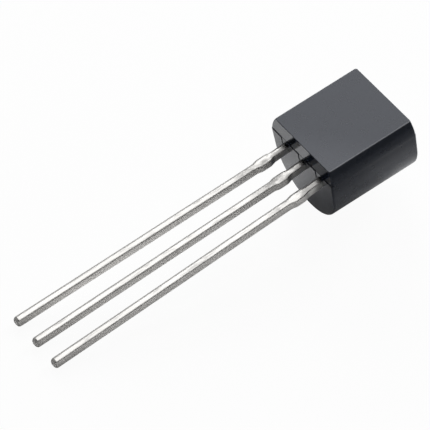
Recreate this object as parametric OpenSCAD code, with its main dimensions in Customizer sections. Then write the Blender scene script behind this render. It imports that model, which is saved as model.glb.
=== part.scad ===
// Three-lead voltage regulator in a moulded D-section case, with the chip and wires inside.
// Component frame: X across the leads, Y along them with the lead tips at -Y, Z out of the
// flat face. The flat face is at Z = 0 and the end face that the leads leave is at Y = 0.
// lay_down() then tips the part on to its back edge and lead tips, as it rests on a table.

/* [Case] */
// Width of the case at the mould's parting plane
case_w = 4.56; // [4.4:0.01:5.2]
// Length of the case along the leads
case_h = 4.53; // [4.3:0.01:5.2]
// Depth of the case from the flat face to the back
case_t = 3.86; // [3.6:0.01:4.2]
// Width of the flat face
flat_w = 4.0; // [3.4:0.01:4.2]
// Depth of the parting plane below the flat face
parting_depth = 0.68; // [0.5:0.01:0.8]
// How far the front half's side walls swell past a straight line
side_bulge = 0.07; // [0:0.01:0.08]
// Radius of the round back
back_r = 2.22; // [2.0:0.01:2.25]
// How far the flat face stands in from the lead end, as the front half's draft
flat_lead_inset = 0.17; // [0.02:0.01:0.3]
// How far the flat face stands in from the far end
flat_far_inset = 0.02; // [0.02:0.01:0.3]
// How far the back stands in from both ends, as the back half's draft
back_inset = 0.01; // [0.01:0.01:0.3]
// Step between the two mould halves at the parting line
mould_step = 0.02; // [0.005:0.005:0.05]
// Diameter of the ejector pin's mark on the back
ejector_d = 1.0; // [0.6:0.05:1.4]
// Depth of the ejector pin's mark at its edge
ejector_sink = 0.03; // [0.01:0.01:0.08]

/* [Leads] */
// Width of each lead
lead_w = 0.42; // [0.36:0.01:0.5]
// Thickness of the lead frame strip
lead_t = 0.40; // [0.34:0.01:0.45]
// Distance between lead centres at the case
lead_pitch = 1.27; // [1.2:0.01:1.35]
// Length of the leads outside the case
lead_len = 14.25; // [12:0.05:16]
// Depth of the lead centre plane below the flat face
lead_depth = 1.17; // [1.1:0.01:1.35]
// Radius of the leads' long edges
edge_r = 0.07; // [0.03:0.01:0.1]
// Radius of the rounding at the lead tips
tip_r = 0.12; // [0.06:0.01:0.16]
// How much further apart than at the case the lead tips lie
tip_splay_w = 0.19; // [0:0.01:0.3]
// How far the lead tips lean to the side
tip_lean_w = 0.32; // [-0.4:0.01:0.4]
// How far the lead tips hang below the plane of the lead roots
tip_drop = 0.13; // [0:0.01:0.4]
// Width of the cropped tie bar stubs
stub_w = 0.56; // [0.52:0.01:0.75]
// Distance from the case to the full width of the stubs
stub_start = 1.05; // [1.0:0.05:2.5]
// Length of the full width of the stubs
stub_len = 0.35; // [0.2:0.05:1.5]
// Length of the taper on each side of the stubs
stub_taper = 0.35; // [0.15:0.05:0.8]

/* [Inside] */
// Width of the chip's pad on the ground lead
pad_w = 2.3; // [1.8:0.05:2.8]
// Length of the chip's pad
pad_len = 1.7; // [1.5:0.05:1.9]
// Moulding compound between the pad and the far end of the case
pad_cover = 0.7; // [0.5:0.05:1]
// Width of the wire posts at the inner ends of the outer leads
post_w = 0.72; // [0.6:0.02:0.8]
// Length of the wire posts
post_len = 1.0; // [0.7:0.05:1.1]
// Gap between the wire posts and the pad
post_gap = 0.3; // [0.2:0.05:0.5]
// Width of the chip
chip_w = 1.2; // [0.8:0.05:1.4]
// Length of the chip
chip_len = 1.1; // [0.8:0.05:1.3]
// Thickness of the chip
chip_t = 0.25; // [0.2:0.01:0.28]
// Thickness of the die attach layer
attach_t = 0.03; // [0.02:0.01:0.05]
// How far the die attach spreads past the chip
attach_margin = 0.06; // [0.02:0.01:0.1]
// Diameter of the bond wires
wire_d = 0.05; // [0.03:0.01:0.07]
// Height that the bond wires rise above the chip
wire_rise = 0.22; // [0.15:0.01:0.3]
// Distance from the chip's edges to the centre of its bond pads
bond_inset = 0.16; // [0.14:0.01:0.3]

/* [Hidden] */

wall_steps = 8;
corner_steps = 3;
tip_steps = 3;
wire_sides = 8;
wire_steps = 14;
ball_fn = 12;
// How steeply the wire loops leave the chip and come down, as shares of their rise
wire_leave = 1.8;
wire_land = 1.4;
wire_reach = 1 / 8;
past = 1;

// The planes of the lead frame and of what is stacked on it
lead_top = lead_t / 2 - lead_depth;
lead_bottom = -lead_t / 2 - lead_depth;
chip_floor = lead_top + attach_t;
chip_top = chip_floor + chip_t;

// The lead frame's plan inside the case
pad_far = case_h - pad_cover;
pad_near = pad_far - pad_len;
pad_middle = (pad_near + pad_far) / 2;
pad_corner = 0.25;
post_far = pad_near - post_gap;
post_near = post_far - post_len;
post_corner = 0.12;
post_inner = lead_pitch - lead_w / 2;
post_middle = post_inner + post_w / 2;

// The round back's centre, and where the drafted side walls run into it
back_z = back_r - case_t;
side_top = [case_w / 2, -parting_depth];
side_angle = atan2(side_top[1] - back_z, side_top[0])
           - acos(back_r / norm([side_top[0], side_top[1] - back_z]));
side_foot = [back_r * cos(side_angle), back_z + back_r * sin(side_angle)];

// Rest: the back's heel is an edge, and each lead tip touches with its rounding
tip_y = -lead_len + tip_r;
tip_z = lead_bottom - tip_drop + tip_r;
tip_top = lead_top - tip_drop - tip_r;
heel_to_tip = [back_inset - tip_y, case_t + tip_z];
rest_tilt = atan2(heel_to_tip[1], heel_to_tip[0]) - asin(tip_r / norm(heel_to_tip));
heel_down = case_t * cos(rest_tilt) - back_inset * sin(rest_tilt);
rest_min_y = tip_y * cos(rest_tilt) - tip_top * sin(rest_tilt) - tip_r;
rest_max_y = (case_h - back_inset) * cos(rest_tilt) + case_t * sin(rest_tilt);

BLACK = "#3a3d40";
TIN = "#d9d8d4";
SILICON = "#6f7480";
SILVER_GLUE = "#a9a9a4";
GOLD = "#d9a93b";

// Tips the part about X so that its back heel and lead tips lie on Z = 0, centred in plan
module lay_down() {
    translate([0, -(rest_min_y + rest_max_y) / 2, heel_down])
        rotate([rest_tilt, 0, 0])
            children();
}

// Runs a profile drawn in X and Z along the case, from y1 to y2
module along_y(y1, y2) {
    translate([0, y2, 0])
        rotate([90, 0, 0])
            linear_extrude(y2 - y1)
                children();
}

// Runs a profile drawn in Y and Z across the case
module across_x(width) {
    rotate([90, 0, 90])
        translate([0, 0, -width / 2])
            linear_extrude(width)
                children();
}

// A closed skin over a list of rings that have as many points each
module loft(rings) {
    n = len(rings[0]);
    last = len(rings) - 1;
    sides = [for (i = [0:last - 1], j = [0:n - 1])
        let (a = i * n + j, b = i * n + (j + 1) % n)
        each [[a, b + n, b], [a, a + n, b + n]]];
    polyhedron(
        points = [for (ring = rings) each ring],
        faces = concat(
            sides,
            [[for (j = [0:n - 1]) j]],
            [[for (j = [n - 1:-1:0]) last * n + j]]
        )
    );
}

// One side wall of the front half in section, from the parting plane up to the flat face
function front_wall(side) = [for (step = [0:wall_steps])
    let (t = step / wall_steps,
         root = case_w / 2 - mould_step,
         swell = 4 * side_bulge * t * (1 - t))
    [side * (root + (flat_w / 2 - root) * t + swell), -parting_depth * (1 - t)]];

// Section of the front half: side walls that curve in to the flat face
module front_profile() {
    left = front_wall(-1);
    polygon(concat(front_wall(1), [for (i = [wall_steps:-1:0]) left[i]]));
}

// The front half of the case, from the parting plane to the flat face, with drafted ends
module front_half() {
    intersection() {
        along_y(-past, case_h + past)
            front_profile();
        across_x(case_w + past)
            polygon([
                [mould_step, -parting_depth],
                [case_h - mould_step, -parting_depth],
                [case_h - flat_far_inset, 0],
                [flat_lead_inset, 0]
            ]);
    }
}

// Section of the back half: drafted side walls that run into a round back
module back_profile() {
    intersection() {
        union() {
            translate([0, back_z])
                circle(back_r, $fn = 96);
            polygon([
                [-side_top[0], side_top[1]],
                side_top,
                side_foot,
                [-side_foot[0], side_foot[1]]
            ]);
        }
        translate([-case_w / 2, -case_t])
            square([case_w, case_t - parting_depth]);
    }
}

// The back half of the case, with drafted ends
module back_half() {
    intersection() {
        along_y(-past, case_h + past)
            back_profile();
        across_x(case_w + past)
            polygon([
                [0, -parting_depth],
                [case_h, -parting_depth],
                [case_h - back_inset, -case_t],
                [back_inset, -case_t]
            ]);
    }
}

// Where the front mould's teeth close down on the lead tops, a step in from the end face
module tooth_marks() {
    for (side = [-1:1])
        translate([side * lead_pitch - lead_w / 2, -past, lead_top - lead_t / 2])
            cube([lead_w, past + mould_step, lead_t / 2 - lead_top - parting_depth]);
}

// The round mark that the ejector pin leaves in the middle of the back
module ejector_mark() {
    edge_drop = back_r - sqrt(back_r * back_r - ejector_d * ejector_d / 4);
    translate([0, case_h / 2, -case_t - past])
        cylinder(h = past + edge_drop + ejector_sink, d = ejector_d, $fn = 48);
}

module case() {
    color(BLACK)
        lay_down()
            difference() {
                union() {
                    front_half();
                    back_half();
                }
                tooth_marks();
                ejector_mark();
                for (side = [-1:1])
                    lead_metal(side);
                attach_layer();
                chip_block();
                for (side = [-1:1])
                    wire_metal(side);
            }
}

// How far a lead's centre has moved at y from the line that it leaves the case on
function lead_shift(side, y) =
    (y < 0 ? -y / lead_len : 0) * [side * tip_splay_w + tip_lean_w, 0, -tip_drop];

// A rounded rectangle across a lead at y, with its outline drawn in by inset
function lead_ring(side, y, w, inset) =
    let (middle = [side * lead_pitch, y, -lead_depth] + lead_shift(side, y),
         r = max(edge_r - inset, edge_r / 4),
         x = w / 2 - inset - r,
         z = lead_t / 2 - inset - r)
    [for (corner = [0:3], step = [0:corner_steps])
        let (a = 90 * (corner + step / corner_steps),
             sx = corner == 0 || corner == 3 ? 1 : -1,
             sz = corner < 2 ? 1 : -1)
        middle + [sx * x + r * cos(a), 0, sz * z + r * sin(a)]];

// A lead from its inner end to its tip, with the tie bar stubs and a rounded tip
module lead_shank(side, inner_y) {
    stub_end = stub_start + stub_len;
    loft(concat(
        [lead_ring(side, inner_y, lead_w, 0)],
        [lead_ring(side, 0, lead_w, 0)],
        [lead_ring(side, -stub_start + stub_taper, lead_w, 0)],
        [lead_ring(side, -stub_start, stub_w, 0)],
        [lead_ring(side, -stub_end, stub_w, 0)],
        [lead_ring(side, -stub_end - stub_taper, lead_w, 0)],
        [for (step = [0:tip_steps])
            let (a = 80 * step / tip_steps)
            lead_ring(side, tip_y - tip_r * sin(a), lead_w, tip_r * (1 - cos(a)))]
    ));
}

// A flat piece of the lead frame inside the case, given as its outline in plan
module frame_plate(outline) {
    translate([0, 0, lead_bottom])
        linear_extrude(lead_t)
            polygon(outline);
}

// The pad, with cut corners, on a neck as wide as the lead
module pad_plate() {
    x = pad_w / 2;
    frame_plate([
        [-x + pad_corner, pad_near],
        [x - pad_corner, pad_near],
        [x, pad_near + pad_corner],
        [x, pad_far - pad_corner],
        [x - pad_corner, pad_far],
        [-x + pad_corner, pad_far],
        [-x, pad_far - pad_corner],
        [-x, pad_near + pad_corner]
    ]);
}

// The wire post, which widens away from the pad's neck and locks the lead in the case
module post_plate(side) {
    outer = post_inner + post_w;
    frame_plate([
        [side * post_inner, post_near],
        [side * (outer - post_corner), post_near],
        [side * outer, post_near + post_corner],
        [side * outer, post_far - post_corner],
        [side * (outer - post_corner), post_far],
        [side * post_inner, post_far]
    ]);
}

// Lead and inner end in one piece of metal: side -1 is the output, 0 ground and 1 the input
module lead_metal(side) {
    if (side == 0) {
        lead_shank(side, pad_near + pad_corner);
        pad_plate();
    } else {
        lead_shank(side, post_near + post_corner);
        post_plate(side);
    }
}

module output_lead() {
    color(TIN)
        lay_down()
            lead_metal(-1);
}

module ground_lead() {
    color(TIN)
        lay_down()
            lead_metal(0);
}

module input_lead() {
    color(TIN)
        lay_down()
            lead_metal(1);
}

// A block of the chip's plan, grown by margin, from z1 to z2
module chip_slab(margin, z1, z2) {
    w = chip_w + 2 * margin;
    len = chip_len + 2 * margin;
    translate([-w / 2, pad_middle - len / 2, z1])
        cube([w, len, z2 - z1]);
}

module attach_layer() {
    chip_slab(attach_margin, lead_top, chip_floor);
}

module chip_block() {
    chip_slab(0, chip_floor, chip_top);
}

module die_attach() {
    color(SILVER_GLUE)
        lay_down()
            attach_layer();
}

module regulator_chip() {
    color(SILICON)
        lay_down()
            chip_block();
}

// Where each wire leaves the chip and where it lands on the lead frame
ball_h = 0.7 * wire_d;
ball_d = 2.2 * wire_d;
function wire_start(side) =
    [side * (chip_w / 2 - bond_inset), pad_middle - chip_len / 2 + bond_inset, chip_top];
function wire_end(side) =
    side == 0
        ? [0, pad_near - post_gap, lead_top]
        : [side * post_middle, post_far - post_len / 3, lead_top];

function bezier(p, t) =
    pow(1 - t, 3) * p[0] + 3 * t * pow(1 - t, 2) * p[1]
    + 3 * t * t * (1 - t) * p[2] + pow(t, 3) * p[3];
function bezier_slope(p, t) =
    3 * pow(1 - t, 2) * (p[1] - p[0]) + 6 * t * (1 - t) * (p[2] - p[1])
    + 3 * t * t * (p[3] - p[2]);

// A bond wire: a ball on the chip, a loop, and a flat stitch on the lead frame
module wire_metal(side) {
    start = wire_start(side);
    end = wire_end(side);
    along = end - start;
    foot = [
        start + [0, 0, ball_h / 2],
        start + [0, 0, wire_rise * wire_leave],
        end + [0, 0, wire_rise * wire_land] - along * wire_reach,
        end + [0, 0, ball_h / 4]
    ];
    across = cross([along[0], along[1], 0], [0, 0, 1]) / norm([along[0], along[1]]);
    translate(start)
        cylinder(h = ball_h, d = ball_d, $fn = ball_fn);
    translate(end)
        cylinder(h = ball_h / 2, d = ball_d, $fn = ball_fn);
    loft([for (step = [0:wire_steps])
        let (t = step / wire_steps,
             slope = bezier_slope(foot, t),
             up = cross(slope / norm(slope), across))
        [for (j = [0:wire_sides - 1])
            let (a = 360 * j / wire_sides)
            bezier(foot, t) + wire_d / 2 * (cos(a) * across + sin(a) * up)]]);
}

module output_bond_wire() {
    color(GOLD)
        lay_down()
            wire_metal(-1);
}

module ground_bond_wire() {
    color(GOLD)
        lay_down()
            wire_metal(0);
}

module input_bond_wire() {
    color(GOLD)
        lay_down()
            wire_metal(1);
}

case();
output_lead();
ground_lead();
input_lead();
die_attach();
regulator_chip();
output_bond_wire();
ground_bond_wire();
input_bond_wire();
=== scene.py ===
"""A small voltage regulator in a moulded case with straight tinned leads, lying face up."""

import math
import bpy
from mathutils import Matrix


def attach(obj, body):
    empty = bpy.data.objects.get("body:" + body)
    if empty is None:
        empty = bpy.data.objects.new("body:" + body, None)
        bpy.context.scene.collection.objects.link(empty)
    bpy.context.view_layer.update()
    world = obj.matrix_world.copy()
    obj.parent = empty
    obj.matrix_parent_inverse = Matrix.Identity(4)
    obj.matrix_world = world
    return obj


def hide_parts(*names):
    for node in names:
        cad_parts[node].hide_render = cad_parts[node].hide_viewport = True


bl_info = {
    "name": "Voltage Regulator",
    "version": (1, 0, 0),
    "blender": (4, 5, 0),
    "location": "View3D > Sidebar > Regulator",
    "description": "Dresses the packed voltage regulator with its mouldings, metal and stage",
    "category": "Object",
}

import bmesh
import bpy
from bpy.props import FloatProperty, FloatVectorProperty, PointerProperty
from mathutils import Matrix, Vector, noise

MM = 0.001
PART_SIDES = (-1, 0, 1)
LEAD_NODES = {-1: "output_lead", 0: "ground_lead", 1: "input_lead"}

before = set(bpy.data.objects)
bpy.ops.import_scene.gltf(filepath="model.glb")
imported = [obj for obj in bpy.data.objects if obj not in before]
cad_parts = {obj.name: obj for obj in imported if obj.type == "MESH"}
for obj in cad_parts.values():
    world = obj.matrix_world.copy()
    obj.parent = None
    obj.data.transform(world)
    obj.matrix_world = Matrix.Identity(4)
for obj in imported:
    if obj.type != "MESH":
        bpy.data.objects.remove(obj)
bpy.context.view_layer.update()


def length(name, description, value):
    """A size property in metres, from a value in millimetres"""
    return FloatProperty(
        name=name, description=description, default=value * MM, unit="LENGTH", precision=6
    )


def colour(name, description, value):
    """A linear colour property"""
    return FloatVectorProperty(
        name=name, description=description, default=value, subtype="COLOR", min=0.0, max=1.0
    )


def angle(name, description, degrees):
    """An angle property, from a value in degrees"""
    return FloatProperty(
        name=name, description=description, default=math.radians(degrees), subtype="ANGLE"
    )


def in_picture(name, description, value):
    """A property in the picture's pixels"""
    return FloatProperty(name=name, description=description, default=value)


class RegulatorCaseSettings(bpy.types.PropertyGroup):
    """Sizes and colour of the moulded case"""

    width: length("Width", "Width across the parting plane", 4.56)
    height: length("Length", "Length of the case along the leads", 4.53)
    depth: length("Depth", "Depth from the flat face to the back", 3.86)
    flat_width: length("Flat width", "Width of the flat face", 4.04)
    parting_depth: length("Parting depth", "Depth of the parting plane below the flat face", 0.68)
    side_bulge: length("Side bulge", "How far the front half's walls swell past a straight line", 0.07)
    back_radius: length("Back radius", "Radius of the round back", 2.22)
    flat_lead_inset: length("Flat lead inset", "How far the flat stands in from the lead end", 0.145)
    flat_far_inset: length("Flat far inset", "How far the flat stands in from the far end", 0.02)
    back_inset: length("Back inset", "How far the back stands in from both ends", 0.01)
    mould_step: length("Mould step", "Step between the two mould halves at both ends", 0.02)
    flat_edge: length("Flat edge", "Radius of the edges round the flat face", 0.02)
    side_rim: length("Side rim", "Radius of the back half's rims beside its side walls", 0.10)
    back_rim: length("Back rim", "Radius of the back half's rims behind", 0.035)
    corner: length("Corner", "Radius of the front half's corners in plan", 0.10)
    seam_width: length("Seam width", "Width of the line between the mould halves", 0.045)
    seam_depth: length("Seam depth", "Depth of the line between the mould halves on the lead end", 0.035)
    side_seam_depth: length("Side seam depth", "Depth of the same line on the other sides", 0.0005)
    ejector_diameter: length("Ejector mark", "Diameter of the ejector pin's mark on the back", 1.0)
    ejector_sink: length("Ejector sink", "Depth of the ejector pin's mark at its edge", 0.03)
    # The light line along the flat face's +X edge is a painted highlight on the compound
    painted_highlight_width: length("Rubbed width", "Width of the rubbed line along the flat's edge", 0.07)
    painted_highlight: colour("Highlight", "Colour of the compound where an edge is rubbed", (0.16, 0.165, 0.18))
    compound: colour("Compound", "Colour of the moulding compound", (0.013, 0.017, 0.028))
    # A lighter colour high on the front half's +X side wall is painted light
    painted_wall_light: colour("Lighter", "Colour of the compound on the front half's side wall", (0.036, 0.042, 0.055))


class RegulatorLeadSettings(bpy.types.PropertyGroup):
    """Sizes and colour of the leads"""

    width: length("Width", "Width of each lead", 0.42)
    thickness: length("Thickness", "Thickness of the lead frame strip", 0.40)
    pitch: length("Pitch", "Distance between lead centres at the case", 1.27)
    reach: length("Length", "Length of the leads outside the case", 14.25)
    depth: length("Depth", "Depth of the lead centres below the flat face", 1.17)
    edge: length("Edge", "Radius of the long edges", 0.06)
    rolled_edge: length("Rolled edge", "Radius of the upper long edge towards -X", 0.18)
    tip: length("Tip", "Radius of the rounding at the bare tips, on which the part lies", 0.12)
    soft_tip: length("Soft tip", "Radius of the rounding at the plated tips", 0.18)
    plated_over: length("Plated over", "How far the plating stands out over the sheared tips", 0.08)
    splay: length("Splay", "How much further apart the tips lie", 0.19)
    set_over: length("Set over", "How far the leads stand to the side once they are out of the case", 0.05)
    lean: length("Lean", "How far the tips lean to the side", 0.32)
    drop: length("Drop", "How far the tips hang down", 0.13)
    tip_lift: length("Tip lift", "How far the plated tips are lifted off the surface", 0.008)
    stub_width: length("Stub width", "Width of the cropped tie bar stubs", 0.56)
    stub_start: length("Stub start", "Distance from the case to the full width of the stubs", 1.05)
    stub_length: length("Stub length", "Length of the full width of the stubs", 0.35)
    stub_taper: length("Stub taper", "Length of the taper on each side of the stubs", 0.35)
    tin: colour("Tin", "Colour of the tin plating", (0.56, 0.55, 0.535))


class RegulatorStageSettings(bpy.types.PropertyGroup):
    """Floor, light and camera"""

    floor: colour("Floor", "Colour of the floor", (0.90, 0.90, 0.90))
    azimuth: angle("Azimuth", "Direction of the camera about the part", 64.857)
    elevation: angle("Elevation", "Height of the camera over the flat face", 49.997)
    roll: angle("Roll", "Turn of the camera about its own axis", -12.438)
    distance: length("Distance", "Distance from the camera to the case's centre", 200.0)
    pixels_per_mm: in_picture("Scale", "Picture pixels per millimetre at the case", 23.0504)
    centre_x: in_picture("Centre X", "Picture column of the case's centre", 345.395)
    centre_y: in_picture("Centre Y", "Picture row of the case's centre", 143.045)


# Edges that turn by more degrees than these stay sharp
CASE_CREASE = 30.0
LEAD_CREASE = 40.0

# How far the cutting tools reach past the case, and how far below the top of the leads the slots start
TOOL_REACH = 1 * MM
SLOT_DROP = 0.1 * MM
# How far the faces over the leads reach into the case and below the top of the leads
TOOTH_REACH = 0.3 * MM
TOOTH_DROP = 0.05 * MM
# A cut is made in millimetres, and its points that are closer than this become one
WELD_GAP = 0.0005
# How far the core of the seam reaches up and down, as a share of the seam's width
CORE_REACH = 0.6
# The least radius of corners and edges that are drawn in, as a share of their full radius
LEAST_CORNER = 1 / 3
LEAST_EDGE = 1 / 5

# Where a lead starts inside the case, how closely its rings lie, and how the tip's rounding ends
LEAD_START = 0.3 * MM
FINE_STEP = 0.05 * MM
COARSE_STEP = 0.2 * MM
TIP_ROOM = 0.3 * MM
TIP_TURN = 86
# How wavy a lead is all along, how much more at its root, and how soon that fades
WAVE_HEIGHT = 0.006 * MM
ROOT_WAVE_HEIGHT = 0.010 * MM
ROOT_WAVE_FADE = 0.6 * MM
# The size of the waves, their stretch along the lead, what sets the three leads apart, and their seed
WAVE_SIZE = 0.9 * MM
WAVE_STRETCH = 0.35
WAVE_SHIFT = 7
WAVE_SEED = 1

# A finish starts at the first value of a pair of facings, places, depths, distances or edges below, and is
# full at the second. A facing is the cosine to a direction. Places are in the part at rest.

# Beside the leads, along them, and grain that isn't stretched
BESIDE = (1, 0, 0)
ALONG = (0, 1, 0)
EVEN = (1, 1, 1)
# How many times wider than the fine grain its slow patches are, and how high the grain stands
SLOW_PATCHES = 12.0
GRAIN_HEIGHT = 0.004 * MM

# The moulding compound: its dark and light shades as shares of its colour, its smooth and rough patches,
# its grain and what it mirrors
COMPOUND_SHADES = (0.85, 1.15)
COMPOUND_ROUGHNESS = (0.25, 0.31)
COMPOUND_GRAIN = 26000.0
COMPOUND_BUMP = 0.12
COMPOUND_IOR = 1.6
COMPOUND_TINT = (0.90, 0.93, 1.0, 1.0)
# The lead end, and the drafted strip between it and the flat face
LEAD_END_ROUGHNESS = 0.24
STRIP_ROUGHNESS = 0.12
LEAD_END_FACING = (0.85, 0.95)
STRIP_FACING_UP = (0.05, 0.15)
# How strongly the flat face mirrors, away from its corner at +X and the lead end and close to it
FLAT_LEVELS = (0.5, 0.62)
FLAT_FACING_UP = (0.90, 0.98)
CORNER_WAY = (0.6, -0.8, 0)
CORNER_PLACES = (-4.8 * MM, -2.8 * MM)
# How strongly the walls mirror, high and low, by their depth below the flat face
WALL_LEVELS = (0.18, 0.45)
WALL_DEPTHS = (0.85 * MM, 1.75 * MM)
# How strongly the lead end and its strip mirror, towards -X and towards +X
LEAD_END_LEVELS = (0.62, 0.38)
LEAD_END_PLACES = (1.2 * MM, 1.9 * MM)
STRIP_LEVELS = (0.62, 0.03)
STRIP_PLACES = (0.40 * MM, 0.60 * MM)
# The painted highlight along the flat face's +X edge, and the painted light high on the +X wall below it
PAINTED_HIGHLIGHT_FACING_UP = (0.60, 0.80)
WALL_LIGHT_FACING = (0.5, 0.7)
WALL_LIGHT_FACING_UP = (0.25, 0.50)

# The tin plating: its dark and light shades as shares of its colour, its smooth and rough patches, and
# its grain
TIN_SHADES = (0.95, 1.25)
TIN_ROUGHNESS = (0.17, 0.27)
TIN_GRAIN = 14000.0
TIN_STRETCH = (1, 0.15, 1)
TIN_BUMP = 0.04
# Clouds near the case, with their distances from it, and faint streaks all along
WORN_SHADE = 0.46
CLOUD_SCALE = 2600.0
CLOUD_STRETCH = (1, 0.45, 1)
CLOUD_EDGES = (0.37, 0.58)
CLOUD_DISTANCES = (2.9 * MM, 2.0 * MM)
STREAK_SCALE = 7000.0
STREAK_STRETCH = (1, 0.04, 1)
STREAK_EDGES = (0.50, 0.70)
STREAK_SHARE = 0.5
# The sheared sides below the upper faces
SHEARED_SHADE = 1.4
SHEARED_ROUGHNESS = 0.42
TOP_FACING_UP = (0.75, 0.97)
# The rolled edges towards -X and the cropped tips
ROLLED_SHADE = 0.64
ROLLED_FACING = (0.05, 0.28)
CROPPED_FACING = (0.10, 0.45)
DULL_ROUGHNESS = 0.6
DULL_METALLIC = 0.15

# The finishes that are sealed inside the case
INNER_BUMP = 0.15
INNER_GRAIN_HEIGHT = 0.002 * MM
GLUE_FINISH = {
    "shades": ((0.40, 0.40, 0.38), (0.50, 0.50, 0.48)),
    "scale": 40000.0,
    "roughness": (0.40, 0.60),
    "metallic": 0.6,
}
CHIP_FINISH = {
    "shades": ((0.16, 0.17, 0.21), (0.30, 0.32, 0.38)),
    "scale": 20000.0,
    "roughness": (0.10, 0.20),
    "metallic": 0.7,
}
WIRE_FINISH = {
    "shades": ((0.80, 0.55, 0.18), (0.90, 0.66, 0.26)),
    "scale": 60000.0,
    "roughness": (0.15, 0.25),
    "metallic": 1.0,
}

# The picture's side in pixels, the point of the case that the stage places in it, in the drawing frame,
# and the camera's own sizes
PICTURE_SIDE = 430
CASE_CENTRE = Vector((0, 2.25 * MM, -1.5 * MM))
SENSOR_WIDTH = 36.0
CLIP_START = 0.001
CLIP_END = 10.0

# The floor's half side in metres, and how much of its colour gives way to white for each kind of ray
FLOOR_HALF = 0.6
FLOOR_ROUGHNESS = 0.9
FLOOR_WHITE = {"Is Camera Ray": 0.95, "Is Glossy Ray": 0.10, "Is Transmission Ray": 0.10}
WORLD_STRENGTH = 0.01

# The spot that the lamps face, and their distance from it in metres
CASE_SPOT = (0, 0.005, 0.002)
LAMP_DISTANCE = 0.3
# Name, azimuth and elevation in degrees, side in metres and radiance of each lamp
LAMPS = (
    ("back_softbox", 104, 22, 0.113, 17.0),
    ("back_left_softbox", 150, 22, 0.113, 17.0),
    ("left_panel", 167, 53, 0.173, 1.75),
    ("overhead_softbox", 0, 88, 0.113, 1.5),
    ("right_fill", 0, 36, 0.113, 1.0),
)


# Where the part lies


def rest_matrix(case, lead):
    """From the drawing frame, with the flat face up at Z = 0 and the leads along -Y, to the part at rest"""
    tip_y = -lead.reach + lead.tip
    tip_z = -lead.depth - lead.thickness / 2 - lead.drop + lead.tip
    run = case.back_inset - tip_y
    rise = case.depth + tip_z
    tilt = math.atan2(rise, run) - math.asin(lead.tip / math.hypot(run, rise))
    down = case.depth * math.cos(tilt) - case.back_inset * math.sin(tilt)
    tip_top = lead.thickness / 2 - lead.depth - lead.drop - lead.tip
    low_y = tip_y * math.cos(tilt) - tip_top * math.sin(tilt) - lead.tip
    high_y = (case.height - case.back_inset) * math.cos(tilt) + case.depth * math.sin(tilt)
    return Matrix.Translation((0, -(low_y + high_y) / 2, down)) @ Matrix.Rotation(tilt, 4, "X")


# Mesh helpers


def clamp(value):
    """A value kept between 0 and 1"""
    return max(0.0, min(1.0, value))


def skin(bm, rings):
    """Joins closed rings of as many points each with quads, and caps both ends"""
    verts = [[bm.verts.new(point) for point in ring] for ring in rings]
    count = len(rings[0])
    for low, high in zip(verts, verts[1:]):
        for j in range(count):
            k = (j + 1) % count
            bm.faces.new((low[j], low[k], high[k], high[j]))
    bm.faces.new(list(reversed(verts[0])))
    bm.faces.new(verts[-1])
    return verts


def box_rings(x0, x1, y0, y1, z0, z1):
    """Two rings that make a plain block"""
    return [[(x0, y0, z), (x1, y0, z), (x1, y1, z), (x0, y1, z)] for z in (z0, z1)]


def new_piece(name, bm, matrix, material, crease):
    """A mesh object at rest, shaded smooth between its sharp edges"""
    bmesh.ops.recalc_face_normals(bm, faces=bm.faces)
    bm.transform(matrix)
    mesh = bpy.data.meshes.new(name)
    bm.to_mesh(mesh)
    bm.free()
    mesh.materials.append(material)
    mesh.shade_smooth()
    mesh.set_sharp_from_angle(angle=math.radians(crease))
    piece = bpy.data.objects.new(name, mesh)
    bpy.context.scene.collection.objects.link(piece)
    weighted = piece.modifiers.new("even_normals", "WEIGHTED_NORMAL")
    weighted.keep_sharp = True
    return piece


def cut_away(bm, tool):
    """Cuts the closed mesh tool out of bm, in millimetres, and returns the result as a new bmesh"""
    objects = []
    for name, part in (("cut_body", bm), ("cut_tool", tool)):
        bmesh.ops.recalc_face_normals(part, faces=part.faces)
        mesh = bpy.data.meshes.new(name)
        part.to_mesh(mesh)
        part.free()
        mesh.transform(Matrix.Scale(1 / MM, 4))
        thing = bpy.data.objects.new(name, mesh)
        bpy.context.scene.collection.objects.link(thing)
        objects.append(thing)
    body, cutter = objects
    modifier = body.modifiers.new("cut", "BOOLEAN")
    modifier.operation = "DIFFERENCE"
    modifier.solver = "EXACT"
    modifier.object = cutter
    evaluated = body.evaluated_get(bpy.context.evaluated_depsgraph_get())
    result = bmesh.new()
    result.from_mesh(evaluated.to_mesh())
    evaluated.to_mesh_clear()
    bmesh.ops.remove_doubles(result, verts=result.verts, dist=WELD_GAP)
    bmesh.ops.triangulate(result, faces=result.faces)
    result.transform(Matrix.Scale(MM, 4))
    for thing in objects:
        mesh = thing.data
        bpy.data.objects.remove(thing)
        bpy.data.meshes.remove(mesh)
    return result


# The case


def back_outline(case, side_steps=6, arc_steps=40):
    """Section of the back half as x, z and their normal, from one side of the parting plane to the other"""
    back_z = case.back_radius - case.depth
    top_x = case.width / 2
    top_z = -case.parting_depth
    reach = math.hypot(top_x, top_z - back_z)
    foot = math.atan2(top_z - back_z, top_x) - math.acos(case.back_radius / reach)
    normal = (math.cos(foot), math.sin(foot))
    foot_x = case.back_radius * normal[0]
    foot_z = back_z + case.back_radius * normal[1]
    right = []
    for i in range(side_steps):
        t = i / side_steps
        right.append((top_x + (foot_x - top_x) * t, top_z + (foot_z - top_z) * t, *normal))
    for i in range(arc_steps + 1):
        a = foot + (-math.pi / 2 - foot) * i / arc_steps
        x, z = math.cos(a), math.sin(a)
        right.append((case.back_radius * x, back_z + case.back_radius * z, x, z))
    left = [(-x, z, -nx, nz) for x, z, nx, nz in reversed(right[:-1])]
    return right + left


def end_inset(case, z):
    """How far the back half's drafted end faces stand in at height z"""
    return case.back_inset * max(0.0, -z - case.parting_depth) / (case.depth - case.parting_depth)


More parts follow.
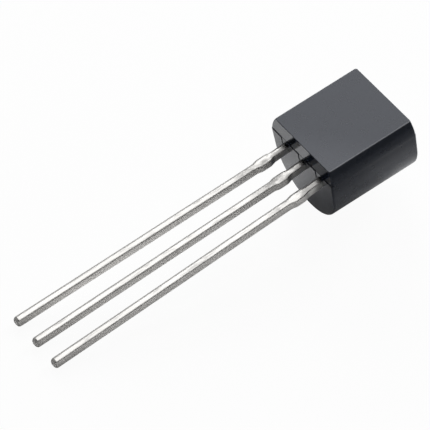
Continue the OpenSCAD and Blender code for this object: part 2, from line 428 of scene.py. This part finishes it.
def back_half(case, fillet_steps=6):
    """The round back half, with drafted ends and rounded rims"""
    bm = bmesh.new()
    outline = back_outline(case)
    top = -case.parting_depth - case.seam_width / 2
    turns = [math.pi / 2 * i / fillet_steps for i in range(fillet_steps + 1)]
    stations = [(a, False) for a in reversed(turns)] + [(a, True) for a in turns]
    rings = []
    for a, far in stations:
        ring = []
        for x, z, nx, nz in outline:
            rim = case.back_rim + (case.side_rim - case.back_rim) * nx * nx
            inset = rim * (1 - math.cos(a))
            ahead = rim * (1 - math.sin(a))
            px, pz = x - nx * inset, min(z - nz * inset, top)
            y = end_inset(case, pz) + ahead
            ring.append((px, case.height - y if far else y, pz))
        rings.append(ring)
    skin(bm, rings)
    return bm


def back_cutters(case, lead, sides=64):
    """What is cut from the back half: the mould's tooth slots over the leads, and the ejector mark"""
    tool = bmesh.new()
    lead_top = lead.thickness / 2 - lead.depth
    half = lead.width / 2 + case.seam_width
    depth = case.mould_step + case.seam_depth
    for side in PART_SIDES:
        x = side * lead.pitch
        skin(tool, box_rings(x - half, x + half, -TOOL_REACH, depth, lead_top - SLOT_DROP, 0))
    radius = case.ejector_diameter / 2
    fall = case.back_radius - math.sqrt(case.back_radius**2 - radius**2)
    rings = []
    circle = [2 * math.pi * i / sides for i in range(sides)]
    for z in (-case.depth - TOOL_REACH, -case.depth + fall + case.ejector_sink):
        rings.append([(radius * math.cos(a), case.height / 2 + radius * math.sin(a), z) for a in circle])
    skin(tool, rings)
    return tool


def front_extent(case, z):
    """Half width and the two end places of the front half at height z"""
    t = 1 + z / case.parting_depth
    half = case.width / 2
    half += (case.flat_width / 2 - half) * t + 4 * case.side_bulge * t * (1 - t)
    near = case.mould_step + (case.flat_lead_inset - case.mould_step) * t
    far = case.height - case.mould_step - (case.flat_far_inset - case.mould_step) * t
    return half, near, far


def rounded_plan(half, near, far, radius, z, steps=6):
    """A rounded rectangle in plan at height z"""
    points = []
    corners = ((half, far, 0), (-half, far, 90), (-half, near, 180), (half, near, 270))
    for x, y, start in corners:
        cx = x - math.copysign(radius, x)
        cy = y - radius if y == far else y + radius
        for i in range(steps + 1):
            a = math.radians(start + 90 * i / steps)
            points.append((cx + radius * math.cos(a), cy + radius * math.sin(a), z))
    return points


def front_half(case, wall_steps=12, fillet_steps=6):
    """The shallow front half, with its rounded edge round the flat face"""
    bm = bmesh.new()
    rings = []
    low = -case.parting_depth + case.seam_width / 2
    high = -case.flat_edge
    for i in range(wall_steps):
        z = low + (high - low) * i / wall_steps
        half, near, far = front_extent(case, z)
        rings.append(rounded_plan(half, near, far, case.corner, z))
    for i in range(fillet_steps + 1):
        a = math.pi / 2 * i / fillet_steps
        z = -case.flat_edge * (1 - math.sin(a))
        inset = case.flat_edge * (1 - math.cos(a))
        half, near, far = front_extent(case, z)
        radius = max(case.corner - inset, case.corner * LEAST_CORNER)
        rings.append(rounded_plan(half - inset, near + inset, far - inset, radius, z))
    skin(bm, rings)
    return bm


def seam_core(case):
    """What closes the line between the mould halves, set in from both"""
    bm = bmesh.new()
    rings = []
    half = case.width / 2 - case.side_seam_depth
    near = case.mould_step + case.seam_depth
    far = case.height - case.mould_step - case.side_seam_depth
    for reach in (-CORE_REACH, CORE_REACH):
        z = -case.parting_depth + reach * case.seam_width
        rings.append(rounded_plan(half, near, far, case.corner, z))
    skin(bm, rings)
    return bm


def mould_teeth(case, lead):
    """The faces that the front mould's teeth leave over each lead"""
    bm = bmesh.new()
    half = lead.width / 2
    lead_top = lead.thickness / 2 - lead.depth
    near = case.mould_step
    top = -case.parting_depth + case.seam_width / 2
    for side in PART_SIDES:
        x = side * lead.pitch
        skin(bm, box_rings(x - half, x + half, near, near + TOOTH_REACH, lead_top - TOOTH_DROP, top))
    return bm


def merge(parts):
    """One bmesh from several"""
    whole = bmesh.new()
    for part in parts:
        mesh = bpy.data.meshes.new("part")
        part.to_mesh(mesh)
        part.free()
        whole.from_mesh(mesh)
        bpy.data.meshes.remove(mesh)
    return whole


# The leads


def lead_centre(lead, side, y):
    """Centre of a lead at y, with its splay, lean and drop outside the case"""
    t = max(0.0, -y) / lead.reach
    over = lead.set_over * clamp(-y / lead.stub_start) * (1 - t)
    return Vector((
        side * lead.pitch + over + t * (side * lead.splay + lead.lean),
        y,
        -lead.depth - t * (lead.drop - lead.tip_lift),
    ))


def stub_share(lead, y):
    """How much of the tie bar's stub there is at y, from 0 to 1"""
    out = -y
    near = (out - (lead.stub_start - lead.stub_taper)) / lead.stub_taper
    far = (lead.stub_start + lead.stub_length + lead.stub_taper - out) / lead.stub_taper
    t = clamp(min(near, far))
    return t * t * (3 - 2 * t)


def lead_ring(lead, side, y, inset, steps=5):
    """A rounded rectangle across a lead at y, drawn in by inset"""
    width = lead.width + (lead.stub_width - lead.width) * stub_share(lead, y)
    centre = lead_centre(lead, side, y)
    root_share = clamp(1 + (y + lead.stub_start + lead.stub_length) / ROOT_WAVE_FADE)
    wave = WAVE_HEIGHT + ROOT_WAVE_HEIGHT * root_share
    points = []
    for sx, sz, start in ((1, 1, 0), (-1, 1, 90), (-1, -1, 180), (1, -1, 270)):
        edge = lead.rolled_edge if (sx, sz) == (-1, 1) else lead.edge
        radius = max(edge - inset, lead.edge * LEAST_EDGE)
        half_x = width / 2 - inset - radius
        half_z = lead.thickness / 2 - inset - radius
        for i in range(steps + 1):
            a = math.radians(start + 90 * i / steps)
            across = sx * half_x + radius * math.cos(a)
            spot = centre + Vector((across, 0, sz * half_z + radius * math.sin(a)))
            place = Vector((spot.x, spot.y * WAVE_STRETCH, spot.z)) / WAVE_SIZE
            wobble = noise.noise_vector(place + Vector((WAVE_SHIFT * side, 0, 0)))
            points.append(spot + Vector((wobble.x, 0, wobble.z)) * wave)
    return points


def lead_mesh(lead, side, tip_steps=7):
    """A lead from just inside the case to its rounded tip"""
    bm = bmesh.new()
    tip_y = -lead.reach - lead.plated_over + lead.soft_tip
    fine = lead.stub_start + lead.stub_length + lead.stub_taper + COARSE_STEP
    stations = [LEAD_START]
    while stations[-1] > tip_y + TIP_ROOM:
        stations.append(stations[-1] - (FINE_STEP if stations[-1] > -fine else COARSE_STEP))
    rings = [lead_ring(lead, side, y, 0.0) for y in stations]
    for i in range(tip_steps + 1):
        a = math.radians(TIP_TURN * i / tip_steps)
        inset = lead.soft_tip * (1 - math.cos(a))
        rings.append(lead_ring(lead, side, tip_y - lead.soft_tip * math.sin(a), inset))
    skin(bm, rings)
    return bm


# Shader groups and materials


def new_group(name, inputs, outputs):
    """A shader node group with named sockets, its input and output nodes"""
    group = bpy.data.node_groups.new(name, "ShaderNodeTree")
    for label, kind, value in inputs:
        socket = group.interface.new_socket(label, in_out="INPUT", socket_type=kind)
        socket.default_value = value
    for label, kind in outputs:
        group.interface.new_socket(label, in_out="OUTPUT", socket_type=kind)
    return group, group.nodes.new("NodeGroupInput"), group.nodes.new("NodeGroupOutput")


def add_node(tree, kind, **settings):
    """A node with its settings; keys that name inputs set their values"""
    node = tree.nodes.new(kind)
    for key, value in settings.items():
        if hasattr(node, key):
            setattr(node, key, value)
        else:
            node.inputs[key.replace("_", " ")].default_value = value
    return node


def grain_group():
    """Colour, roughness and height that vary over a surface as fine noise on slow patches"""
    group, start, end = new_group(
        "surface_grain",
        [
            ("Scale", "NodeSocketFloat", 1.0),
            ("Stretch", "NodeSocketVector", (1.0, 1.0, 1.0)),
            ("Dark", "NodeSocketColor", (0.0, 0.0, 0.0, 1.0)),
            ("Light", "NodeSocketColor", (1.0, 1.0, 1.0, 1.0)),
            ("Smooth", "NodeSocketFloat", 0.3),
            ("Rough", "NodeSocketFloat", 0.5),
        ],
        [("Colour", "NodeSocketColor"), ("Roughness", "NodeSocketFloat"), ("Height", "NodeSocketFloat")],
    )
    links = group.links
    place = add_node(group, "ShaderNodeTexCoord")
    stretch = add_node(group, "ShaderNodeVectorMath", operation="MULTIPLY")
    links.new(place.outputs["Object"], stretch.inputs[0])
    links.new(start.outputs["Stretch"], stretch.inputs[1])
    fine = add_node(group, "ShaderNodeTexNoise", Detail=4.0, Roughness=0.6)
    slow = add_node(group, "ShaderNodeTexNoise", Detail=2.0, Roughness=0.5)
    slow_scale = add_node(group, "ShaderNodeMath", operation="DIVIDE")
    slow_scale.inputs[1].default_value = SLOW_PATCHES
    links.new(start.outputs["Scale"], slow_scale.inputs[0])
    for texture, scale in ((fine, start.outputs["Scale"]), (slow, slow_scale.outputs[0])):
        links.new(stretch.outputs[0], texture.inputs["Vector"])
        links.new(scale, texture.inputs["Scale"])
    blend = add_node(group, "ShaderNodeMix", data_type="RGBA")
    links.new(slow.outputs["Fac"], blend.inputs["Factor"])
    links.new(start.outputs["Dark"], blend.inputs[6])
    links.new(start.outputs["Light"], blend.inputs[7])
    spread = add_node(group, "ShaderNodeMapRange")
    links.new(slow.outputs["Fac"], spread.inputs["Value"])
    links.new(start.outputs["Smooth"], spread.inputs["To Min"])
    links.new(start.outputs["Rough"], spread.inputs["To Max"])
    links.new(blend.outputs[2], end.inputs["Colour"])
    links.new(spread.outputs["Result"], end.inputs["Roughness"])
    links.new(fine.outputs["Fac"], end.inputs["Height"])
    return group


def end_in_ramp(group, start, end, value):
    """Ends a group in a smooth ramp of a value between the group's From and To"""
    ramp = add_node(group, "ShaderNodeMapRange", interpolation_type="SMOOTHSTEP")
    group.links.new(value, ramp.inputs["Value"])
    group.links.new(start.outputs["From"], ramp.inputs["From Min"])
    group.links.new(start.outputs["To"], ramp.inputs["From Max"])
    group.links.new(ramp.outputs["Result"], end.inputs[0])


def along_group(name, coordinate, output):
    """How far a coordinate goes in a direction, from 0 to 1"""
    group, start, end = new_group(
        name,
        [
            ("Direction", "NodeSocketVector", (0.0, 0.0, 1.0)),
            ("From", "NodeSocketFloat", 0.0),
            ("To", "NodeSocketFloat", 1.0),
        ],
        [(output, "NodeSocketFloat")],
    )
    place = add_node(group, "ShaderNodeTexCoord")
    along = add_node(group, "ShaderNodeVectorMath", operation="DOT_PRODUCT")
    group.links.new(place.outputs[coordinate], along.inputs[0])
    group.links.new(start.outputs["Direction"], along.inputs[1])
    end_in_ramp(group, start, end, along.outputs["Value"])
    return group


def facing_group():
    """How far a surface of the part at rest faces a direction, from 0 to 1"""
    return along_group("surface_facing", "Normal", "Facing")


def past_group():
    """How far a point of the part at rest lies past a line in some direction, from 0 to 1"""
    return along_group("surface_past", "Object", "Past")


def mottle_group():
    """Clear patches of stretched noise, from 0 to 1"""
    group, start, end = new_group(
        "surface_mottle",
        [
            ("Scale", "NodeSocketFloat", 1.0),
            ("Stretch", "NodeSocketVector", (1.0, 1.0, 1.0)),
            ("From", "NodeSocketFloat", 0.45),
            ("To", "NodeSocketFloat", 0.65),
        ],
        [("Mottle", "NodeSocketFloat")],
    )
    place = add_node(group, "ShaderNodeTexCoord")
    stretch = add_node(group, "ShaderNodeVectorMath", operation="MULTIPLY")
    group.links.new(place.outputs["Object"], stretch.inputs[0])
    group.links.new(start.outputs["Stretch"], stretch.inputs[1])
    patches = add_node(group, "ShaderNodeTexNoise", Detail=4.0, Roughness=0.55)
    group.links.new(stretch.outputs[0], patches.inputs["Vector"])
    group.links.new(start.outputs["Scale"], patches.inputs["Scale"])
    end_in_ramp(group, start, end, patches.outputs["Fac"])
    return group


def place_group(tree, name, build, **values):
    """Puts a shader group in a material with its own values, and builds the group when it is first used"""
    node = tree.nodes.new("ShaderNodeGroup")
    node.node_tree = bpy.data.node_groups.get(name) or build()
    for label, value in values.items():
        node.inputs[label].default_value = value
    return node


def place_facing(tree, direction, start, full):
    """A mask that is full where the surface faces a direction"""
    node = place_group(tree, "surface_facing", facing_group, Direction=direction, From=start, To=full)
    return node.outputs[0]


def place_past(tree, direction, start, full):
    """A mask that is full past a line in some direction"""
    node = place_group(tree, "surface_past", past_group, Direction=direction, From=start, To=full)
    return node.outputs[0]


def place_mottle(tree, scale, stretch, start, full):
    """A mask of stretched patches"""
    values = {"Scale": scale, "Stretch": stretch, "From": start, "To": full}
    return place_group(tree, "surface_mottle", mottle_group, **values).outputs[0]


def place_grain(tree, scale, stretch, shades, roughness, bump, height):
    """The grain's colour, its roughness, and the normal that it raises"""
    values = {"Scale": scale, "Stretch": stretch}
    values["Dark"], values["Light"] = [(*shade, 1.0) for shade in shades]
    values["Smooth"], values["Rough"] = roughness
    grain = place_group(tree, "surface_grain", grain_group, **values)
    raised = add_node(tree, "ShaderNodeBump", Strength=bump, Distance=height)
    tree.links.new(grain.outputs["Height"], raised.inputs["Height"])
    return grain.outputs["Colour"], grain.outputs["Roughness"], raised.outputs["Normal"]


def scaled(tree, output, factor):
    """An output times a factor, which may be a value or an output"""
    product = add_node(tree, "ShaderNodeMath", operation="MULTIPLY")
    tree.links.new(output, product.inputs[0])
    if isinstance(factor, float):
        product.inputs[1].default_value = factor
    else:
        tree.links.new(factor, product.inputs[1])
    return product.outputs[0]


def larger(tree, first, second):
    """The larger of two outputs"""
    node = add_node(tree, "ShaderNodeMath", operation="MAXIMUM")
    tree.links.new(first, node.inputs[0])
    tree.links.new(second, node.inputs[1])
    return node.outputs[0]


def blend_values(tree, factor, low, high):
    """Blends two values or outputs by a factor and returns the output"""
    blend = add_node(tree, "ShaderNodeMix", data_type="FLOAT")
    tree.links.new(factor, blend.inputs["Factor"])
    for socket, value in ((blend.inputs[2], low), (blend.inputs[3], high)):
        if isinstance(value, float):
            socket.default_value = value
        else:
            tree.links.new(value, socket)
    return blend.outputs[0]


def blend_colours(tree, factor, low, high):
    """Blends two colours or outputs by a factor and returns the output"""
    blend = add_node(tree, "ShaderNodeMix", data_type="RGBA")
    tree.links.new(factor, blend.inputs["Factor"])
    for socket, value in ((blend.inputs[6], low), (blend.inputs[7], high)):
        if isinstance(value, tuple):
            socket.default_value = (*value, 1.0)
        else:
            tree.links.new(value, socket)
    return blend.outputs[2]


def blend_normals(tree, factor, low, high):
    """Blends a normal with a fixed one by a factor and returns the output"""
    blend = add_node(tree, "ShaderNodeMix", data_type="VECTOR")
    tree.links.new(factor, blend.inputs["Factor"])
    tree.links.new(low, blend.inputs[4])
    blend.inputs[5].default_value = high
    return blend.outputs[1]


def shaded(colour_value, share):
    """A colour made darker or lighter by a share"""
    return tuple(min(1.0, c * share) for c in colour_value)


def new_material(name):
    """A material with its shader and its tree"""
    material = bpy.data.materials.new(name)
    material.use_nodes = True
    tree = material.node_tree
    return material, tree, tree.nodes["Principled BSDF"]


def feed_shader(tree, shader, outputs):
    """Links outputs to the shader's inputs that they are named for"""
    for label, output in outputs.items():
        tree.links.new(output, shader.inputs[label])


def moulding_material(case, rest):
    """Black filled epoxy: satin, smoother on the lead end and its strip, with a painted highlight beside
    the flat face and painted light high on the +X wall
    """
    material, tree, shader = new_material("moulding_compound")
    up = rest.to_3x3() @ Vector((0, 0, 1))
    lead_end = rest.to_3x3() @ Vector((0, -1, 0))
    shades = [shaded(case.compound, share) for share in COMPOUND_SHADES]
    colour_out, rough, normal = place_grain(
        tree, COMPOUND_GRAIN, EVEN, shades, COMPOUND_ROUGHNESS, COMPOUND_BUMP, GRAIN_HEIGHT
    )

    polished = place_facing(tree, lead_end, *LEAD_END_FACING)
    drafted = place_facing(tree, up, *STRIP_FACING_UP)
    strip = scaled(tree, polished, drafted)
    smoother = blend_values(tree, drafted, LEAD_END_ROUGHNESS, STRIP_ROUGHNESS)
    rough = blend_values(tree, polished, rough, smoother)
    # The strip mirrors as if it stood upright
    normal = blend_normals(tree, strip, normal, lead_end)

    flat_level = blend_values(tree, place_past(tree, CORNER_WAY, *CORNER_PLACES), *FLAT_LEVELS)
    flat_place = rest.translation.dot(-up)
    sunk = place_past(tree, -up, *(flat_place + depth for depth in WALL_DEPTHS))
    wall_level = blend_values(tree, sunk, *WALL_LEVELS)
    end_level = blend_values(tree, place_past(tree, BESIDE, *LEAD_END_PLACES), *LEAD_END_LEVELS)
    strip_level = blend_values(tree, place_past(tree, BESIDE, *STRIP_PLACES), *STRIP_LEVELS)
    level = blend_values(tree, polished, wall_level, end_level)
    level = blend_values(tree, place_facing(tree, up, *FLAT_FACING_UP), level, flat_level)
    level = blend_values(tree, strip, level, strip_level)

    # Painted light: the upper part of the +X side wall gets a lighter colour
    high_wall = place_facing(tree, up, *WALL_LIGHT_FACING_UP)
    painted_wall_light = scaled(tree, place_facing(tree, BESIDE, *WALL_LIGHT_FACING), high_wall)
    colour_out = blend_colours(tree, painted_wall_light, colour_out, tuple(case.painted_wall_light))
    # Painted highlight: a light line on the edge along the flat face's +X side
    half = case.flat_width / 2
    line = place_past(tree, BESIDE, half - case.painted_highlight_width, half - case.painted_highlight_width / 2)
    painted_highlight = scaled(tree, line, place_facing(tree, up, *PAINTED_HIGHLIGHT_FACING_UP))
    colour_out = blend_colours(tree, painted_highlight, colour_out, tuple(case.painted_highlight))

    outputs = {"Base Color": colour_out, "Roughness": rough, "Specular IOR Level": level, "Normal": normal}
    feed_shader(tree, shader, outputs)
    shader.inputs["IOR"].default_value = COMPOUND_IOR
    shader.inputs["Specular Tint"].default_value = COMPOUND_TINT
    return material


def tin_material(lead, rest):
    """Tin plating on a stamped lead: cloudy and faintly streaked above, dull on its rolled edge and tip"""
    material, tree, shader = new_material("tin_plating")
    up = rest.to_3x3() @ Vector((0, 0, 1))
    lead_end = rest.to_3x3() @ Vector((0, -1, 0))
    shades = [shaded(lead.tin, share) for share in TIN_SHADES]
    colour_out, rough, normal = place_grain(
        tree, TIN_GRAIN, TIN_STRETCH, shades, TIN_ROUGHNESS, TIN_BUMP, GRAIN_HEIGHT
    )

    clouds = place_mottle(tree, CLOUD_SCALE, CLOUD_STRETCH, *CLOUD_EDGES)
    near_case = place_past(tree, ALONG, *(rest.translation.y - out for out in CLOUD_DISTANCES))
    streaks = place_mottle(tree, STREAK_SCALE, STREAK_STRETCH, *STREAK_EDGES)
    worn = larger(tree, scaled(tree, clouds, near_case), scaled(tree, streaks, STREAK_SHARE))
    colour_out = blend_colours(tree, worn, colour_out, shaded(lead.tin, WORN_SHADE))

    top = place_facing(tree, up, *TOP_FACING_UP)
    colour_out = blend_colours(tree, top, shaded(lead.tin, SHEARED_SHADE), colour_out)
    rough = blend_values(tree, top, SHEARED_ROUGHNESS, rough)

    rolled = place_facing(tree, -Vector(BESIDE), *ROLLED_FACING)
    colour_out = blend_colours(tree, rolled, colour_out, shaded(lead.tin, ROLLED_SHADE))
    dull = larger(tree, rolled, place_facing(tree, lead_end, *CROPPED_FACING))
    rough = blend_values(tree, dull, rough, DULL_ROUGHNESS)
    metallic = blend_values(tree, dull, 1.0, DULL_METALLIC)

    outputs = {"Base Color": colour_out, "Roughness": rough, "Metallic": metallic, "Normal": normal}
    feed_shader(tree, shader, outputs)
    return material


def inner_material(name, shades, scale, roughness, metallic):
    """A finish for a piece that is sealed inside the case"""
    material, tree, shader = new_material(name)
    colour_out, rough, normal = place_grain(
        tree, scale, EVEN, shades, roughness, INNER_BUMP, INNER_GRAIN_HEIGHT
    )
    feed_shader(tree, shader, {"Base Color": colour_out, "Roughness": rough, "Normal": normal})
    shader.inputs["Metallic"].default_value = metallic
    return material


# Operators


class REGULATOR_OT_make_case(bpy.types.Operator):
    """Make the moulded case"""

    bl_idname = "regulator.make_case"
    bl_label = "Make Case"

    def execute(self, context):
        case = context.scene.regulator_case
        lead = context.scene.regulator_lead
        back = cut_away(back_half(case), back_cutters(case, lead))
        whole = merge([back, front_half(case), seam_core(case), mould_teeth(case, lead)])
        rest = rest_matrix(case, lead)
        piece = new_piece("moulded_case", whole, rest, moulding_material(case, rest), CASE_CREASE)
        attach(piece, "root")
        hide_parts("case")
        return {"FINISHED"}


class REGULATOR_OT_make_leads(bpy.types.Operator):
    """Make the three tinned leads"""

    bl_idname = "regulator.make_leads"
    bl_label = "Make Leads"

    def execute(self, context):
        case = context.scene.regulator_case
        lead = context.scene.regulator_lead
        rest = rest_matrix(case, lead)
        material = tin_material(lead, rest)
        # The waves are then the same in every run
        noise.seed_set(WAVE_SEED)
        for side, node in LEAD_NODES.items():
            piece = new_piece("tinned_" + node, lead_mesh(lead, side), rest, material, LEAD_CREASE)
            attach(piece, "root")
            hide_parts(node)
        return {"FINISHED"}


class REGULATOR_OT_finish_inside(bpy.types.Operator):
    """Give the chip, its glue and its wires their finishes"""

    bl_idname = "regulator.finish_inside"
    bl_label = "Finish Inside"

    def execute(self, context):
        glue = inner_material("silver_glue", **GLUE_FINISH)
        silicon = inner_material("silicon", **CHIP_FINISH)
        gold = inner_material("gold_wire", **WIRE_FINISH)
        finishes = {"die_attach": glue, "regulator_chip": silicon}
        for lead_name in ("output", "ground", "input"):
            finishes[lead_name + "_bond_wire"] = gold
        for node, material in finishes.items():
            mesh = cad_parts[node].data
            mesh.materials.clear()
            mesh.materials.append(material)
        return {"FINISHED"}


def soft_box(name, azimuth, elevation, side, radiance):
    """A square area lamp that faces the case, with the given radiance"""
    light = bpy.data.lights.new(name, "AREA")
    light.shape = "SQUARE"
    light.size = side
    light.energy = radiance * math.pi * side * side
    lamp = bpy.data.objects.new(name, light)
    bpy.context.scene.collection.objects.link(lamp)
    az, el = math.radians(azimuth), math.radians(elevation)
    away = Vector((math.cos(az) * math.cos(el), math.sin(az) * math.cos(el), math.sin(el))) * LAMP_DISTANCE
    lamp.location = Vector(CASE_SPOT) + away
    lamp.rotation_euler = (-away).to_track_quat("-Z", "Y").to_euler()


def floor_material(stage):
    """A pale floor that shows as white around the part and keeps its shadow"""
    material, tree, shader = new_material("pale_floor")
    shader.inputs["Base Color"].default_value = (*stage.floor, 1.0)
    shader.inputs["Roughness"].default_value = FLOOR_ROUGHNESS
    rays = tree.nodes.new("ShaderNodeLightPath")
    share = None
    for ray, white_share in FLOOR_WHITE.items():
        add = add_node(tree, "ShaderNodeMath", operation="MULTIPLY_ADD")
        tree.links.new(rays.outputs[ray], add.inputs[0])
        add.inputs[1].default_value = white_share
        if share is None:
            add.inputs[2].default_value = 0.0
        else:
            tree.links.new(share, add.inputs[2])
        share = add.outputs[0]
    white = tree.nodes.new("ShaderNodeEmission")
    white.inputs["Color"].default_value = (1, 1, 1, 1)
    white.inputs["Strength"].default_value = 1.0
    blend = tree.nodes.new("ShaderNodeMixShader")
    tree.links.new(share, blend.inputs[0])
    tree.links.new(shader.outputs[0], blend.inputs[1])
    tree.links.new(white.outputs[0], blend.inputs[2])
    tree.links.new(blend.outputs[0], tree.nodes["Material Output"].inputs["Surface"])
    return material


def make_world(scene):
    """Faint, even surroundings"""
    world = bpy.data.worlds.new("studio")
    world.use_nodes = True
    back = world.node_tree.nodes["Background"]
    back.inputs["Color"].default_value = (1, 1, 1, 1)
    back.inputs["Strength"].default_value = WORLD_STRENGTH
    scene.world = world


def make_camera(scene, stage, case, lead):
    """The camera, given by its angles over the flat face and where the case lies in the picture"""
    az, el = stage.azimuth, stage.elevation
    back = Vector((math.cos(el) * math.sin(az), -math.cos(el) * math.cos(az), math.sin(el)))
    right = Vector((0, 0, 1)).cross(back).normalized()
    up = back.cross(right)
    right, up = (
        right * math.cos(stage.roll) + up * math.sin(stage.roll),
        up * math.cos(stage.roll) - right * math.sin(stage.roll),
    )
    middle = PICTURE_SIDE / 2
    offset_x = -(stage.centre_x - middle) / stage.pixels_per_mm * MM
    offset_y = (stage.centre_y - middle) / stage.pixels_per_mm * MM
    place = CASE_CENTRE + back * stage.distance + right * offset_x + up * offset_y
    axes = Matrix((right, up, back)).transposed().to_4x4()
    data = bpy.data.cameras.new("camera")
    data.sensor_width = SENSOR_WIDTH
    data.lens = stage.pixels_per_mm * stage.distance / MM / PICTURE_SIDE * SENSOR_WIDTH
    data.clip_start = CLIP_START
    data.clip_end = CLIP_END
    camera = bpy.data.objects.new("camera", data)
    scene.collection.objects.link(camera)
    camera.matrix_world = rest_matrix(case, lead) @ Matrix.Translation(place) @ axes
    scene.camera = camera


class REGULATOR_OT_make_stage(bpy.types.Operator):
    """Make the floor, the lamps and the camera"""

    bl_idname = "regulator.make_stage"
    bl_label = "Make Stage"

    def execute(self, context):
        scene = context.scene
        stage = scene.regulator_stage
        bm = bmesh.new()
        bmesh.ops.create_grid(bm, x_segments=1, y_segments=1, size=FLOOR_HALF)
        floor = new_piece("floor", bm, Matrix.Identity(4), floor_material(stage), CASE_CREASE)
        make_world(scene)
        for lamp in LAMPS:
            soft_box(*lamp)
        make_camera(scene, stage, scene.regulator_case, scene.regulator_lead)
        scene.view_settings.view_transform = "Standard"
        return {"FINISHED"}


class REGULATOR_PT_panel(bpy.types.Panel):
    """Lists what makes the regulator"""

    bl_idname = "REGULATOR_PT_panel"
    bl_label = "Voltage Regulator"
    bl_space_type = "VIEW_3D"
    bl_region_type = "UI"
    bl_category = "Regulator"

    def draw(self, context):
        layout = self.layout
        for settings in ("regulator_case", "regulator_lead", "regulator_stage"):
            group = getattr(context.scene, settings)
            for prop in group.bl_rna.properties:
                if prop.identifier not in {"rna_type", "name"}:
                    layout.prop(group, prop.identifier)
        for operator in OPERATORS:
            layout.operator(operator.bl_idname)


OPERATORS = (
    REGULATOR_OT_make_case,
    REGULATOR_OT_make_leads,
    REGULATOR_OT_finish_inside,
    REGULATOR_OT_make_stage,
)
SETTINGS = {
    "regulator_case": RegulatorCaseSettings,
    "regulator_lead": RegulatorLeadSettings,
    "regulator_stage": RegulatorStageSettings,
}


def register():
    """Adds the settings, the operators and the panel"""
    for settings in SETTINGS.values():
        bpy.utils.register_class(settings)
    for name, settings in SETTINGS.items():
        setattr(bpy.types.Scene, name, PointerProperty(type=settings))
    for operator in OPERATORS:
        bpy.utils.register_class(operator)
    bpy.utils.register_class(REGULATOR_PT_panel)


def unregister():
    """Removes the panel, the operators and the settings"""
    bpy.utils.unregister_class(REGULATOR_PT_panel)
    for operator in reversed(OPERATORS):
        bpy.utils.unregister_class(operator)
    for name in SETTINGS:
        delattr(bpy.types.Scene, name)
    for settings in SETTINGS.values():
        bpy.utils.unregister_class(settings)


def main():
    """Makes every piece and the stage"""
    register()
    for operator in ("make_case", "make_leads", "finish_inside", "make_stage"):
        getattr(bpy.ops.regulator, operator)()


if __name__ == "__main__":
    main()
